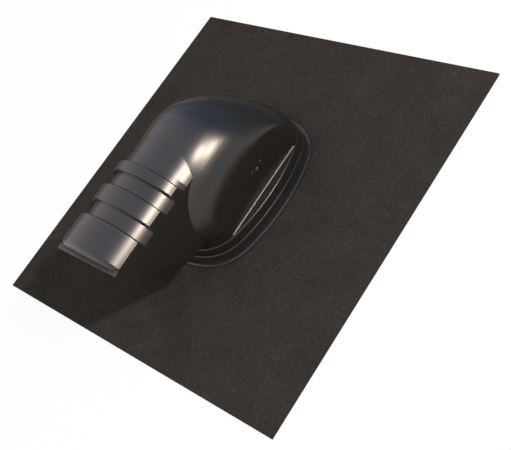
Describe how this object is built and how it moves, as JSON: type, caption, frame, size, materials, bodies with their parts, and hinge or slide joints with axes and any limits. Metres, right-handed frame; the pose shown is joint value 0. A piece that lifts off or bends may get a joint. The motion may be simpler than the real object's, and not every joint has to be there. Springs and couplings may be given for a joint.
{
  "type": "pipe flashing boot",
  "caption": "Roof pipe flashing boot: square felt collar, oval base frame with a round pipe sleeve, and a domed hood with a stepped spout that opens down the slope.",
  "frame": {"origin": "middle of the square sheet, on its underside, which lies on the roof", "axes": "+Z away from the roof, +Y up the slope, the spout points down the slope to -Y, +X across the slope"},
  "size_m": [0.5, 0.5, 0.162],
  "materials": {
    "felt": "mineral speckled",
    "frame_plastic": "satin",
    "hood_plastic": "gloss",
    "screw_steel": "black coated"
  },
  "bodies": {
    "root": {"felt_sheet": "felt", "base_frame": "frame_plastic", "pipe_sleeve": "frame_plastic", "hood_skirt": "hood_plastic", "hood_walls": "hood_plastic", "hood_crown": "hood_plastic", "hood_spout": "hood_plastic", "screw_left": "screw_steel", "screw_right": "screw_steel"}
  },
  "joints": []
}
